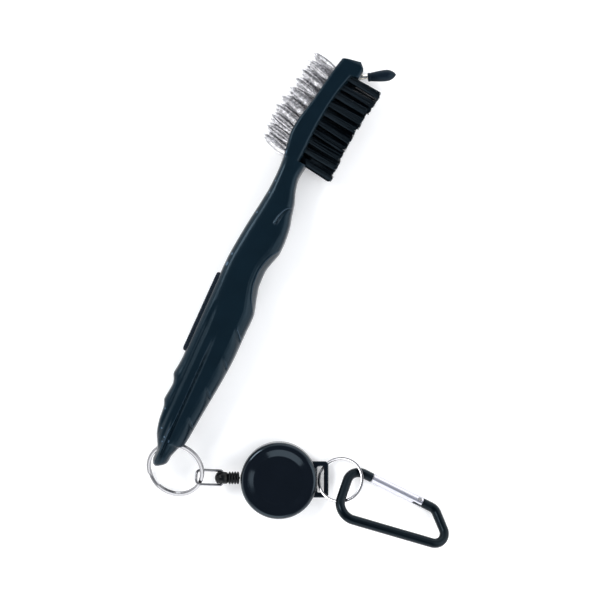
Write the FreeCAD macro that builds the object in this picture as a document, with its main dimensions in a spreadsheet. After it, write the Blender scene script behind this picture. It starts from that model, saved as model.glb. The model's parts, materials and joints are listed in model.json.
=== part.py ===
import FreeCAD, Part
import math
import os

# Two-sided golf club brush with a retractable cord reel and a carabiner.
# Row frame: +X along the handle towards the head, +Y towards the wire tufts, +Z up,
# with the brush lying on its side on Z = 0. Millimetres.

Vec = FreeCAD.Vector
X_AXIS = Vec(1, 0, 0)
Y_AXIS = Vec(0, 1, 0)
Z_AXIS = Vec(0, 0, 1)

doc = FreeCAD.newDocument("club_groove_brush")
sheet = doc.addObject("Spreadsheet::Sheet", "Dims")

DRIVING = [
    ("mid_height", 9.0), ("half_thickness", 9.0),
    ("pad_length", 34.0), ("pad_width", 11.0), ("pad_depth", 2.4), ("pad_top", 11.0),
    ("pad_start", -112.0), ("pad_round", 2.0),
    ("tuft_hole_dia", 2.7), ("tuft_hole_depth", 3.2), ("wire_pitch", 4.2), ("nylon_pitch", 4.1), ("tuft_row_gap", 5.2),
    ("wire_length", 10.6), ("wire_waist_dia", 2.9), ("wire_tip_dia", 0.8),
    ("nylon_length", 14.4), ("nylon_end_dia", 3.7),
    ("anchor_height", 1.3), ("anchor_thickness", 0.4),
    ("spike_dia", 1.8), ("spike_length", 17.0), ("spike_bury", 6.0), ("spike_point", 3.0),
    ("cap_dia", 3.5), ("cap_length", 11.4), ("cap_bore_dia", 1.92), ("cap_gap", 3.2),
    ("eyelet_dia", 6.2),
    ("key_ring_radius", 11.2), ("key_ring_strand", 1.7), ("key_ring_thick", 0.6),
    ("key_ring_pitch", 0.62),
    ("strap_ring_radius", 8.85), ("strap_ring_strand", 1.1), ("strap_ring_thick", 0.4),
    ("strap_ring_pitch", 0.42), ("ring_end_gap", 0.5),
    ("link_wire_dia", 1.1), ("link_width", 5.8), ("link_corner", 2.0),
    ("ball_dia", 6.0), ("ball_flats", 4.5), ("relief_dia", 5.2), ("relief_length", 4.4),
    ("cord_dia", 0.8), ("cord_height", 5.45), ("cord_offset", 0.9),
    ("reel_radius", 15.4), ("reel_height", 9.2), ("reel_wall", 1.2), ("reel_split", 4.6),
    ("spool_radius", 13.4), ("hub_radius", 4.4), ("cord_turns", 8.5), ("cord_pitch", 0.9),
    ("lug_reach", 20.0), ("lug_width", 14.7), ("lug_thickness", 1.5), ("lug_height", 3.05),
    ("spring_turns", 7.5), ("spring_pitch", 1.1),
    ("slot_width", 2.6), ("slot_length", 10.6), ("lug_bar", 1.9),
    ("rod_dia", 3.8), ("gate_length", 20.6), ("gate_gap", 0.35), ("rivet_dia", 1.6),
    ("tongue_thickness", 1.5),
]
for row, (alias, value) in enumerate(DRIVING, start=1):
    sheet.set("A%d" % row, alias.replace("_", " "))
    sheet.set("B%d" % row, str(value))
    sheet.setAlias("B%d" % row, alias)
doc.recompute()

nodes = []


def dim(alias):
    return float(sheet.get(alias))


def bind(obj, **expressions):
    for prop, expression in expressions.items():
        obj.setExpression(prop, expression)
    return obj


def node(obj, label, placement=None):
    """Names a finished sub-part, places it and lists it for export."""
    obj.Label = label
    if placement is not None:
        obj.Placement = placement
    nodes.append(obj)
    return obj


def plane(body, role):
    return next(f for f in body.Origin.OriginFeatures if f.Role == role)


def new_body(name):
    return doc.addObject("PartDesign::Body", name)


def new_sketch(body, name, role, offset=0.0):
    sketch = body.newObject("Sketcher::SketchObject", name)
    sketch.AttachmentSupport = [(plane(body, role), "")]
    sketch.MapMode = "FlatFace"
    sketch.AttachmentOffset = FreeCAD.Placement(Vec(0, 0, offset), FreeCAD.Rotation())
    return sketch


def draw_polygon(sketch, points):
    for start, end in zip(points, points[1:] + points[:1]):
        sketch.addGeometry(Part.LineSegment(Vec(*start, 0), Vec(*end, 0)), False)


def draw_rounded_box(sketch, low, high, radius):
    """Rectangle with four equal corner arcs, drawn anticlockwise from the lower left."""
    corners = [(low[0], low[1], 180), (high[0], low[1], 270),
               (high[0], high[1], 0), (low[0], high[1], 90)]
    inward = [(1, 1), (-1, 1), (-1, -1), (1, -1)]
    arcs = []
    for (x, y, start), (sx, sy) in zip(corners, inward):
        circle = Part.Circle(Vec(x + sx * radius, y + sy * radius, 0), Z_AXIS, radius)
        arcs.append(Part.ArcOfCircle(circle, math.radians(start), math.radians(start + 90)))
    for index, arc in enumerate(arcs):
        following = arcs[(index + 1) % 4]
        sketch.addGeometry(arc, False)
        sketch.addGeometry(Part.LineSegment(arc.EndPoint, following.StartPoint), False)


def turned(name, profile):
    """Body of revolution about Z from (radius, height) corners."""
    body = new_body(name)
    sketch = new_sketch(body, name + "_profile", "XZ_Plane")
    draw_polygon(sketch, profile)
    revolution = body.newObject("PartDesign::Revolution", name + "_turn")
    revolution.Profile = sketch
    revolution.ReferenceAxis = (sketch, ["V_Axis"])
    revolution.Angle = 360
    body.Tip = revolution
    return body


def cylinder(name, radius, height, placement):
    """Cylinder whose radius and height are sheet expressions."""
    obj = doc.addObject("Part::Cylinder", name)
    bind(obj, Radius=radius, Height=height)
    obj.Placement = placement
    return obj


def box(name, length, width, height, placement):
    obj = doc.addObject("Part::Box", name)
    bind(obj, Length=length, Width=width, Height=height)
    obj.Placement = placement
    return obj


def cut(name, base, tool):
    obj = doc.addObject("Part::Cut", name)
    obj.Base = base
    obj.Tool = tool
    return obj


def fuse(name, pieces):
    obj = doc.addObject("Part::MultiFuse", name)
    obj.Shapes = pieces
    obj.Refine = True
    return obj


def along(point, direction):
    """Placement whose own Z axis points in the given direction."""
    return FreeCAD.Placement(point, FreeCAD.Rotation(Z_AXIS, direction))


def rounded_path(points, radii, closed):
    """Wire through corner points, each corner rounded by its radius (0 at the ends)."""
    count = len(points)
    edges = []
    ends = []
    for index, point in enumerate(points):
        radius = radii[index]
        if radius == 0:
            ends.append((point, point, None))
            continue
        back = (points[index - 1] - point).normalize()
        ahead = (points[(index + 1) % count] - point).normalize()
        half = back.getAngle(ahead) / 2
        reach = radius / math.tan(half)
        middle = (back + ahead).normalize() * (radius / math.sin(half) - radius)
        ends.append((point + back * reach, point + ahead * reach, point + middle))
    last = count if closed else count - 1
    for index in range(last):
        entry, leave, through = ends[index]
        if through is not None:
            edges.append(Part.Arc(entry, through, leave).toShape())
        edges.append(Part.LineSegment(leave, ends[(index + 1) % count][0]).toShape())
    if not closed and ends[-1][2] is not None:
        edges.append(Part.Arc(ends[-1][0], ends[-1][2], ends[-1][1]).toShape())
    return Part.Wire(edges)


def swept(name, path, radius):
    """Round rod or cord along a path, through Part::Sweep."""
    spine = doc.addObject("Part::Feature", name + "_path")
    spine.Shape = path
    first = path.Edges[0]
    start = first.valueAt(first.FirstParameter)
    direction = first.tangentAt(first.FirstParameter)
    section = doc.addObject("Part::Circle", name + "_section")
    bind(section, Radius=radius)
    section.Placement = along(start, direction)
    sweep = doc.addObject("Part::Sweep", name + "_sweep")
    sweep.Sections = [section]
    sweep.Spine = (spine, ["Edge%d" % (i + 1) for i in range(len(path.Edges))])
    sweep.Solid = True
    sweep.Frenet = False
    return sweep


# ---------------------------------------------------------------- brush body

MID = dim("mid_height")
HEAD_TOP_SLOPE = math.radians(11.2)
HEAD_TOP_CORNER = (-15.0, 7.1)
NECK_RISE_SLOPE = math.radians(6.7)
HEAD_BOTTOM_SLOPE = math.radians(6.8)
HEAD_BOTTOM_CORNER = (-25.3, -1.25)

# Stations along the handle: X, top Y, bottom Y, half thickness, share of corner rounding.
STATIONS = [
    (-159.0, 2.7, -0.3, 4.2, 0.9), (-156.5, 3.7, -2.0, 5.8, 0.8), (-151.0, 4.6, -3.3, 6.8, 0.7),
    (-145.0, 7.2, -5.8, 8.0, 0.7), (-134.0, 8.8, -6.9, 9.0, 0.7), (-119.0, 9.6, -8.5, 9.0, 0.7),
    (-104.0, 9.7, -9.5, 9.0, 0.7), (-89.0, 9.7, -9.4, 9.0, 0.7), (-80.0, 9.7, -7.3, 9.0, 0.7),
    (-73.0, 9.5, -6.3, 9.0, 0.7), (-66.0, 9.1, -7.5, 9.0, 0.7), (-58.0, 8.2, -8.8, 8.8, 0.7),
    (-48.0, 6.9, -7.6, 8.4, 0.7), (-38.0, 5.8, -4.9, 7.8, 0.6), (-30.0, 5.5, -3.4, 7.8, 0.5),
    (-25.7, 5.85, -3.9, 8.4, 0.45), (-25.3, 5.9, -1.25, 8.5, 0.4), (-15.0, 7.1, -2.4, 9.05, 0.3),
    (14.2, 1.32, -5.9, 9.05, 0.35), (14.6, 1.24, -8.7, 8.9, 0.35), (18.8, 0.2, -9.2, 8.0, 0.5),
    (20.4, -1.8, -7.6, 6.6, 0.7),
]


def head_top(x):
    """Height of the wire side, which rises along the neck's end and then falls to the front."""
    past_corner = x - HEAD_TOP_CORNER[0]
    slope = HEAD_TOP_SLOPE if past_corner > 0 else -NECK_RISE_SLOPE
    return HEAD_TOP_CORNER[1] - math.tan(slope) * past_corner


def head_bottom(x):
    return HEAD_BOTTOM_CORNER[1] - math.tan(HEAD_BOTTOM_SLOPE) * (x - HEAD_BOTTOM_CORNER[0])


def handle_blank():
    body = new_body("handle_blank")
    sections = []
    for index, (x, top, bottom, half, rounding) in enumerate(STATIONS):
        sketch = new_sketch(body, "station_%02d" % index, "YZ_Plane", x)
        radius = rounding * min((top - bottom) / 2, half)
        draw_rounded_box(sketch, (bottom, MID - half), (top, MID + half), radius)
        sections.append(sketch)
    loft = body.newObject("PartDesign::AdditiveLoft", "handle_loft")
    loft.Profile = sections[0]
    loft.Sections = sections[1:]
    loft.Ruled = True
    body.Tip = loft
    return body


def planed_head(blank):
    """The head's two sides are planed, so that the brush lies flat on either."""
    half = dim("half_thickness")
    slabs = [Part.makeBox(60, 30, 4, Vec(-35, -15, z)) for z in (MID - half - 4, MID + half)]
    return cut("handle_planed", blank, group("planing_slabs", slabs))


def grip_pad():
    body = new_body("back_grip_pad")
    sketch = new_sketch(body, "pad_outline", "XZ_Plane", -dim("pad_top"))
    start, width = dim("pad_start"), dim("pad_width")
    draw_rounded_box(sketch, (start, MID - width / 2),
                     (start + dim("pad_length"), MID + width / 2), dim("pad_round"))
    pad = body.newObject("PartDesign::Pad", "pad_block")
    pad.Profile = sketch
    bind(pad, Length="Dims.pad_depth")
    body.Tip = pad
    return body


def tuft_seats(surface, slope, side, pitch, rows):
    """Root point on the head and outward direction of each tuft."""
    seats = []
    outward = Vec(side * math.sin(slope), side * math.cos(slope), 0)
    for level, (first, count) in zip((-1, 0, 1), rows):
        for index in range(count):
            x = first + index * pitch
            seats.append((Vec(x, surface(x), MID + level * dim("tuft_row_gap")), outward))
    return seats


WIRE_SEATS = tuft_seats(head_top, HEAD_TOP_SLOPE, 1, dim("wire_pitch"),
                        ((-23.6, 10), (-21.5, 9), (-23.6, 10)))
NYLON_SEATS = tuft_seats(head_bottom, HEAD_BOTTOM_SLOPE, -1, dim("nylon_pitch"),
                         ((-23.7, 10), (-21.65, 9), (-23.7, 10)))


def tuft_sockets(seats):
    depth, over = dim("tuft_hole_depth"), 1.0
    radius = dim("tuft_hole_dia") / 2
    return [Part.makeCylinder(radius, depth + over, root - out * depth, out) for root, out in seats]


def anchor_plates(seats):
    """Flat plate across the bottom of each tuft hole."""
    wide, high, thick = dim("tuft_hole_dia") - 0.2, dim("anchor_height"), dim("anchor_thickness")
    plates = []
    for root, out in seats:
        plate = Part.makeBox(thick, wide, high, Vec(-thick / 2, -wide / 2, 0.05))
        turn = FreeCAD.Rotation(Z_AXIS, out)
        plate.Placement = FreeCAD.Placement(root - out * dim("tuft_hole_depth"), turn)
        plates.append(plate)
    return plates


def tufts(seats, mouth_dia, length, end_dia, waist_at):
    """Folded tufts: straight in the hole, then shaped from the mouth to the free end."""
    depth = dim("tuft_hole_depth") - 0.1
    inside = dim("tuft_hole_dia") / 2 - 0.05
    solids = []
    for (root, out), plate in zip(seats, anchor_plates(seats)):
        stem = Part.makeCylinder(inside, depth, root - out * depth, out)
        waist = Part.makeCone(inside, mouth_dia / 2, waist_at, root, out)
        brush = Part.makeCone(mouth_dia / 2, end_dia / 2, length - waist_at, root + out * waist_at, out)
        solids.append(stem.multiFuse([waist, brush]).removeSplitter().cut(plate))
    return solids


def turns_of(alias):
    """Edge names of a flat spiral, which has one edge for each started turn."""
    return ["Edge%d" % (turn + 1) for turn in range(math.ceil(dim(alias)))]


def group(name, solids):
    obj = doc.addObject("Part::Feature", name)
    obj.Shape = Part.Compound(solids)
    return obj


SPIKE_DIRECTION = Vec(math.cos(math.radians(-60)), math.sin(math.radians(-60)), 0)
SPIKE_EXIT = Vec(16.3, -9.3, MID)
SPIKE_START = SPIKE_EXIT - SPIKE_DIRECTION * dim("spike_bury")
CAP_START = SPIKE_EXIT + SPIKE_DIRECTION * dim("cap_gap")

# Key ring through the tip: it leans on the table and rises into the eyelet.
RING_END_OVERLAP = 34
KEY_RING_TILT = math.radians(25)
KEY_RING_CENTRE = Vec(-157.6, -6.0, 5.7)
KEY_RING_UPHILL = Vec(0.995, -0.0996, 0)
EYELET_CENTRE = Vec(-150.65, 0.0, 8.4)
EYELET_DIRECTION = Vec(0.616, -0.788, 0)


def brush_parts():
    blank = planed_head(handle_blank())
    pad = grip_pad()
    pin = cylinder("spike_shank", "Dims.spike_dia / 2", "Dims.spike_length - Dims.spike_point",
                   along(SPIKE_START, SPIKE_DIRECTION))
    point = doc.addObject("Part::Cone", "spike_point")
    bind(point, Radius1="Dims.spike_dia / 2", Height="Dims.spike_point")
    point.Radius2 = 0.15
    tip_start = dim("spike_length") - dim("spike_point")
    point.Placement = along(SPIKE_START + SPIKE_DIRECTION * tip_start, SPIKE_DIRECTION)
    spike = fuse("groove_spike", [pin, point])
    eyelet = cylinder("eyelet_hole", "Dims.eyelet_dia / 2", "40",
                      along(EYELET_CENTRE - EYELET_DIRECTION * 20, EYELET_DIRECTION))
    sockets = group("tuft_sockets", tuft_sockets(WIRE_SEATS) + tuft_sockets(NYLON_SEATS))
    hollow = cut("handle_with_sockets", blank, sockets)
    hollow = cut("handle_with_eyelet", hollow, eyelet)
    hollow = cut("handle_with_spike_socket", hollow, spike)
    handle = cut("handle_body", hollow, pad)
    node(handle, "handle_body")
    node(pad, "back_grip_pad")
    node(spike, "groove_spike")
    wires = tufts(WIRE_SEATS, dim("wire_waist_dia"), dim("wire_length"), dim("wire_tip_dia"), 3.5)
    nylon = tufts(NYLON_SEATS, 2.75, dim("nylon_length"), dim("nylon_end_dia"), 2.0)
    node(group("wire_tufts", wires), "wire_tufts")
    node(group("nylon_tufts", nylon), "nylon_tufts")
    node(group("wire_anchors", anchor_plates(WIRE_SEATS)), "wire_anchors")
    node(group("nylon_anchors", anchor_plates(NYLON_SEATS)), "nylon_anchors")


def spike_cap():
    radius, length, bore = dim("cap_dia") / 2, dim("cap_length"), dim("cap_bore_dia") / 2
    nose = 4.0
    bore_depth = dim("spike_length") - dim("spike_bury") - dim("cap_gap") + 0.5
    profile = [(bore, 0), (radius - 0.2, 0), (radius, 0.2), (radius, length - nose),
               (radius * 0.86, length - nose * 0.55), (radius * 0.5, length - nose * 0.15),
               (0.3, length), (0, length), (0, bore_depth), (bore, bore_depth)]
    node(turned("spike_cap", profile), "spike_cap", along(CAP_START, SPIKE_DIRECTION))


# ---------------------------------------------------------------- rings

def split_ring(label, family, placement):
    """Two turns of flat wire lying on each other, with the wire's two ends as notches."""
    centre_line, strand = dim(family + "_radius"), dim(family + "_strand")
    thick, pitch = dim(family + "_thick"), dim(family + "_pitch")
    inner, outer = centre_line - strand / 2, centre_line + strand / 2
    half = (pitch + thick) / 2
    corner, seam = 0.3 * thick, 0.25 * thick
    section = [
        (inner + corner, -half), (outer - corner, -half), (outer, corner - half), (outer, -seam),
        (outer - seam, 0), (outer, seam), (outer, half - corner), (outer - corner, half),
        (inner + corner, half), (inner, half - corner), (inner, seam), (inner + seam, 0),
        (inner, -seam), (inner, corner - half),
    ]
    ring = turned(label + "_turns", section)
    for end, (angle, floor) in enumerate(((0, 0), (RING_END_OVERLAP, -2 * half))):
        spot = FreeCAD.Placement(Vec(), FreeCAD.Rotation(Z_AXIS, angle)).multiply(
            FreeCAD.Placement(Vec(inner - strand, 0, floor), FreeCAD.Rotation()))
        notch = box("%s_end_%d" % (label, end), "Dims.%s_strand * 3" % family,
                    "Dims.ring_end_gap", "Dims.%s_thick + Dims.%s_pitch" % (family, family), spot)
        ring = cut("%s_cut_%d" % (label, end), ring, notch)
    node(ring, label, placement)


def leaning(centre, normal, heading):
    """Placement with Z along the normal and X as near the heading as it can be."""
    side = normal.cross(heading)
    return FreeCAD.Placement(centre, FreeCAD.Rotation(side.cross(normal), side, normal, "ZXY"))


def key_ring_placement():
    rise = math.tan(KEY_RING_TILT)
    normal = Z_AXIS - KEY_RING_UPHILL * rise
    return leaning(KEY_RING_CENTRE, normal, Vec(-0.3, -1, 0))


# ---------------------------------------------------------------- reel and cord

# Strap frame: origin under the reel's centre, +X along the cord away from the handle.
STRAP = FreeCAD.Placement(Vec(-144.5, -45.8, 0), FreeCAD.Rotation(Z_AXIS, -65.7))
BALL_CENTRE = Vec(-22.8, dim("cord_offset"), dim("cord_height"))
RELIEF_END = -15.95
LINK_RING_END = Vec(-33.0, 1.5, 6.9)
LINK_ROLL = -0.25


def wire_link():
    """Closed wire loop: round the key ring at one end, through the ball at the other."""
    half = dim("link_width") / 2
    run = (BALL_CENTRE - LINK_RING_END).normalize()
    side = Y_AXIS + Z_AXIS * LINK_ROLL
    across = (side - run * run.dot(side)).normalize()
    ring_end = LINK_RING_END - run * 0.2
    corner = dim("link_corner")
    points = [ring_end + run * 4 - across * half, BALL_CENTRE - across * half,
              BALL_CENTRE + across * half, ring_end + across * half, ring_end - across * half]
    path = rounded_path(points, [0, 0.9, 0.9, corner, corner], True)
    node(swept("wire_link", path, "Dims.link_wire_dia / 2"), "wire_link", STRAP)
    return across


def cord_end(across):
    ball = doc.addObject("Part::Sphere", "ball")
    bind(ball, Radius="Dims.ball_dia / 2")
    ball.Placement.Base = BALL_CENTRE
    keep = box("ball_between_flats", "Dims.ball_dia + 2", "Dims.ball_dia + 2", "Dims.ball_flats",
               FreeCAD.Placement())
    side = dim("ball_dia") / 2 + 1
    keep.Placement = along(BALL_CENTRE, across).multiply(
        FreeCAD.Placement(Vec(-side, -side, -dim("ball_flats") / 2), FreeCAD.Rotation()))
    flatted = doc.addObject("Part::Common", "flatted_ball")
    flatted.Base = ball
    flatted.Tool = keep
    cross = cylinder("ball_cross_hole", "Dims.link_wire_dia / 2 + 0.35", "Dims.ball_dia + 2",
                     along(BALL_CENTRE - across * side, across))
    bore = cylinder("ball_bore", "Dims.cord_dia / 2", "Dims.ball_dia",
                    along(BALL_CENTRE + X_AXIS, X_AXIS))
    holes = fuse("ball_holes", [cross, bore])
    node(cut("cord_end_stop", flatted, holes), "cord_end_stop", STRAP)

    radius, length, core = dim("relief_dia") / 2, dim("relief_length"), dim("cord_dia") / 2
    ribs = 4
    step = length / (2 * ribs)
    profile = [(core, 0)]
    for index in range(ribs):
        low = 2 * index * step
        profile += [(radius, low), (radius, low + step),
                    (radius - 0.5, low + step), (radius - 0.5, low + 2 * step)]
    profile += [(core, length)]
    start = Vec(RELIEF_END - length, BALL_CENTRE.y, BALL_CENTRE.z)
    relief = turned("relief_sleeve", profile)
    socket = doc.addObject("Part::Sphere", "ball_seat")
    bind(socket, Radius="Dims.ball_dia / 2")
    socket.Placement.Base = BALL_CENTRE
    relief.Placement = along(start, X_AXIS)
    node(cut("strain_relief", relief, socket), "strain_relief", STRAP)

    lead_length = RELIEF_END - BALL_CENTRE.x - 1.2
    lead = cylinder("cord_lead", "Dims.cord_dia / 2", str(lead_length),
                    along(BALL_CENTRE + X_AXIS * 1.2, X_AXIS))
    node(lead, "cord_lead", STRAP.multiply(lead.Placement))


def reel_covers():
    outer, wall, split = dim("reel_radius"), dim("reel_wall"), dim("reel_split")
    top, inner = dim("reel_height"), dim("reel_radius") - dim("reel_wall")
    recess, face, ceiling, boss = 10.0, top - 0.9, top - 2.1, 1.9
    boss_end, screw = 3.2, 0.9
    front = turned("front_shell", [
        (0, face), (recess, face), (recess + 0.9, top), (outer - 1.9, top), (outer - 0.5, top - 0.7),
        (outer, top - 1.7), (outer, split), (inner, split), (inner, ceiling - 1), (inner - 1, ceiling),
        (boss, ceiling), (boss, boss_end), (screw, boss_end), (screw, ceiling - 0.4),
        (0, ceiling - 0.4)])
    floor = 1.4
    back = turned("back_shell", [
        (screw + 0.25, 0.9), (2.0, 0), (outer - 2.2, 0), (outer - 0.5, 1.2), (outer, 2.2),
        (outer, split), (inner, split), (inner, floor + 0.6), (inner - 0.6, floor),
        (3.0, floor), (3.0, boss_end - 0.1), (screw + 0.25, boss_end - 0.1)])

    reach, width, thick = dim("lug_reach"), dim("lug_width"), dim("lug_thickness")
    plate = new_body("lug_plate")
    outline = new_sketch(plate, "lug_outline", "XY_Plane", dim("lug_height") - thick / 2)
    draw_rounded_box(outline, (outer - 3.5, -width / 2), (reach, width / 2), 1.6)
    slab = plate.newObject("PartDesign::Pad", "lug_pad")
    slab.Profile = outline
    bind(slab, Length="Dims.lug_thickness")
    opening = new_sketch(plate, "lug_slot", "XY_Plane", dim("lug_height") + thick)
    slot_end = reach - dim("lug_bar")
    half_slot = dim("slot_length") / 2
    draw_rounded_box(opening, (slot_end - dim("slot_width"), -half_slot), (slot_end, half_slot), 0.6)
    slot = plate.newObject("PartDesign::Pocket", "lug_slot_cut")
    slot.Profile = opening
    slot.Type = "ThroughAll"
    plate.Tip = slot
    doc.recompute()
    rounding = plate.newObject("PartDesign::Fillet", "lug_rounding")
    rims = [("Edge%d" % (i + 1)) for i, e in enumerate(slot.Shape.Edges)
            if abs(e.BoundBox.ZLength) < 1e-6 and e.BoundBox.XMax > outer + 0.1]
    rounding.Base = (slot, rims)
    rounding.Radius = 0.5
    plate.Tip = rounding
    hollow = turned("lug_trim", [(0, floor), (inner - 0.6, floor), (inner, floor + 0.6),
                                 (inner, split), (0, split)])
    lug = cut("lug", plate, hollow)
    exit_hole = cylinder("cord_guide_hole", "Dims.cord_dia / 2 + 1.0", "4",
                         along(Vec(-16.8, BALL_CENTRE.y, BALL_CENTRE.z), X_AXIS))
    shell = fuse("back_with_lug", [back, lug])
    node(cut("reel_back_cover", shell, exit_hole), "reel_back_cover", STRAP)
    node(cut("reel_front_cover", front, exit_hole), "reel_front_cover", STRAP)

    screw_head = turned("reel_screw", [
        (0, 0.35), (0.9, 0.15), (1.75, 0.15), (0.95, 0.95), (0.88, 0.95), (0.88, ceiling - 0.6),
        (0, ceiling - 0.6)])
    node(screw_head, "reel_screw", STRAP)


def cord_and_spool():
    hub, outer, bore = dim("hub_radius"), dim("spool_radius"), 2.0
    skirt, cord_z, half_groove = dim("spool_radius") - 0.6, dim("cord_height"), 0.5
    lower, upper = cord_z - half_groove - 0.45, cord_z + half_groove + 0.5
    spool = turned("reel_spool", [
        (bore, lower), (skirt, lower), (skirt, 2.2), (outer, 2.2), (outer, cord_z - half_groove),
        (hub, cord_z - half_groove), (hub, cord_z + half_groove), (outer, cord_z + half_groove),
        (outer, upper), (bore, upper)])
    node(spool, "reel_spool", STRAP)

    guide = turned("cord_guide", [(0.5, 0), (1.39, 0), (1.39, 1.3), (0.5, 1.3)])
    face = -(dim("reel_radius") + 0.25)
    node(guide, "cord_guide", STRAP.multiply(
        along(Vec(face, BALL_CENTRE.y, cord_z), X_AXIS)))

    coil = doc.addObject("Part::Spiral", "wound_cord_path")
    inner_radius = hub + dim("cord_dia") / 2 + 0.1
    bind(coil, Growth="Dims.cord_pitch", Rotations="Dims.cord_turns")
    coil.Radius = inner_radius
    section = doc.addObject("Part::Circle", "wound_cord_section")
    bind(section, Radius="Dims.cord_dia / 2")
    section.Placement = along(Vec(inner_radius, 0, 0), Y_AXIS)
    wound = doc.addObject("Part::Sweep", "wound_cord")
    wound.Sections = [section]
    wound.Spine = (coil, turns_of("cord_turns"))
    wound.Solid = True
    wound.Frenet = False
    node(wound, "wound_cord", STRAP.multiply(
        FreeCAD.Placement(Vec(0, 0, cord_z), FreeCAD.Rotation(Z_AXIS, -35))))

    start = Vec(face, BALL_CENTRE.y, cord_z)
    bend = start + X_AXIS * 1.75
    lead_in = bend + Vec(0.45, 0.8, 0)
    path = rounded_path([start, bend, lead_in], [0, 0.5, 0], False)
    node(swept("cord_run", path, "Dims.cord_dia / 2"), "cord_run", STRAP)

    band = doc.addObject("Part::Spiral", "power_spring_path")
    band.Radius = 3.4
    bind(band, Growth="Dims.spring_pitch", Rotations="Dims.spring_turns")
    strip = doc.addObject("Part::Plane", "power_spring_section")
    strip.Length = 0.18
    strip.Width = 2.2
    strip.Placement = FreeCAD.Placement(Vec(3.31, 0, 0), FreeCAD.Rotation(X_AXIS, 90))
    spring = doc.addObject("Part::Sweep", "power_spring")
    spring.Sections = [strip]
    spring.Spine = (band, turns_of("spring_turns"))
    spring.Solid = True
    spring.Frenet = False
    node(spring, "power_spring", STRAP.multiply(
        FreeCAD.Placement(Vec(0, 0, 1.75), FreeCAD.Rotation())))


# ---------------------------------------------------------------- strap ring and carabiner

STRAP_RING_SLOPE = (0.239, -0.402)
CARABINER_SLOPE = (-0.304, -0.565)
CARABINER_HEADING = math.radians(-12.8)
CARABINER_CENTRE = Vec(47.05, -9.35, 5.5)
NOSE = Vec(-11.4, 7.9, 0)
PIVOT_BEND = Vec(16.4, 2.55, 0)
CARABINER_CORNERS = [(NOSE, 0), (Vec(-20.6, 9.7, 0), 5.5), (Vec(-23.4, -12.1, 0), 6.5),
                     (Vec(25.6, -12.1, 0), 4.6), (PIVOT_BEND, 4.0)]


def slope_normal(slope):
    return Vec(-slope[0], -slope[1], 1)


def strap_ring_placement():
    reach = dim("strap_ring_radius")
    centre = Vec(24.87, 0, dim("lug_height") + STRAP_RING_SLOPE[0] * reach)
    return STRAP.multiply(leaning(centre, slope_normal(STRAP_RING_SLOPE), Vec(0.2, 1, 0)))


def carabiner():
    heading = Vec(math.cos(CARABINER_HEADING), math.sin(CARABINER_HEADING), 0)
    place = STRAP.multiply(leaning(CARABINER_CENTRE, slope_normal(CARABINER_SLOPE), heading))
    gate_line = (PIVOT_BEND - NOSE).normalize()
    gate_start = NOSE + gate_line * dim("gate_gap")
    pivot = gate_start + gate_line * dim("gate_length")
    frame_end = pivot + gate_line * 2.2
    points = [p for p, r in CARABINER_CORNERS] + [frame_end]
    radii = [r for p, r in CARABINER_CORNERS] + [0]
    rod = swept("carabiner_rod", rounded_path(points, radii, False), "Dims.rod_dia / 2")
    tilt = FreeCAD.Rotation(X_AXIS, gate_line)
    thick, rod_dia = dim("tongue_thickness"), dim("rod_dia")
    tongue_length = 4.4
    tongue = box("tongue", str(tongue_length), "Dims.rod_dia - 0.5", "Dims.tongue_thickness",
                 FreeCAD.Placement(pivot - gate_line * 1.6, tilt).multiply(FreeCAD.Placement(
                     Vec(0, -rod_dia / 2 + 0.25, -thick / 2), FreeCAD.Rotation())))
    rivet_hole = cylinder("tongue_hole", "Dims.rivet_dia / 2", "10",
                          along(pivot - Z_AXIS * 5, Z_AXIS))
    frame = cut("carabiner_frame", fuse("frame_with_tongue", [rod, tongue]), rivet_hole)
    node(frame, "carabiner_frame", place)

    barrel_length = dim("gate_length") + 1.5
    barrel = cylinder("gate_barrel", "Dims.rod_dia / 2", str(barrel_length),
                      along(gate_start, gate_line))
    fork = box("gate_fork", "4", "6", "Dims.tongue_thickness + 0.3",
               FreeCAD.Placement(pivot - gate_line * 2.2, tilt).multiply(FreeCAD.Placement(
                   Vec(0, -3, -thick / 2 - 0.15), FreeCAD.Rotation())))
    bore_length = 9.0
    bore = cylinder("gate_bore", "1.1", str(bore_length),
                    along(pivot - gate_line * (bore_length + 2.0), gate_line))
    gate_hole = cylinder("gate_rivet_hole", "Dims.rivet_dia / 2 + 0.05", "10",
                         along(pivot - Z_AXIS * 5, Z_AXIS))
    gate = cut("carabiner_gate", barrel, fuse("gate_cuts", [fork, bore, gate_hole]))
    node(gate, "carabiner_gate", place)
    rivet = cylinder("gate_rivet", "Dims.rivet_dia / 2", "Dims.rod_dia",
                     along(pivot - Z_AXIS * rod_dia / 2, Z_AXIS))
    node(rivet, "gate_rivet", place.multiply(rivet.Placement))

    spring_length, plunger_length = 5.0, 3.2
    bore_end = pivot - gate_line * (bore_length + 1.9)
    helix = doc.addObject("Part::Helix", "gate_spring_helix")
    helix.Radius = 0.8
    helix.Pitch = 0.7
    helix.Height = spring_length - 0.6
    coil_section = doc.addObject("Part::Circle", "gate_spring_section")
    coil_section.Radius = 0.15
    coil_section.Placement = along(Vec(0.8, 0, 0), Y_AXIS)
    spring = doc.addObject("Part::Sweep", "gate_spring")
    spring.Sections = [coil_section]
    spring.Spine = (helix, ["Edge1"])
    spring.Solid = True
    spring.Frenet = True
    node(spring, "gate_spring", place.multiply(along(bore_end + gate_line * 0.3, gate_line)))
    plunger = turned("gate_plunger", [(0, 0), (1.0, 0), (1.0, plunger_length - 0.6),
                                      (0.5, plunger_length), (0, plunger_length)])
    node(plunger, "gate_plunger",
         place.multiply(along(bore_end + gate_line * (spring_length + 0.1), gate_line)))


brush_parts()
spike_cap()
split_ring("handle_split_ring", "key_ring", key_ring_placement())
cord_end(wire_link())
reel_covers()
cord_and_spool()
split_ring("reel_split_ring", "strap_ring", strap_ring_placement())
carabiner()
doc.recompute()

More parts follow.
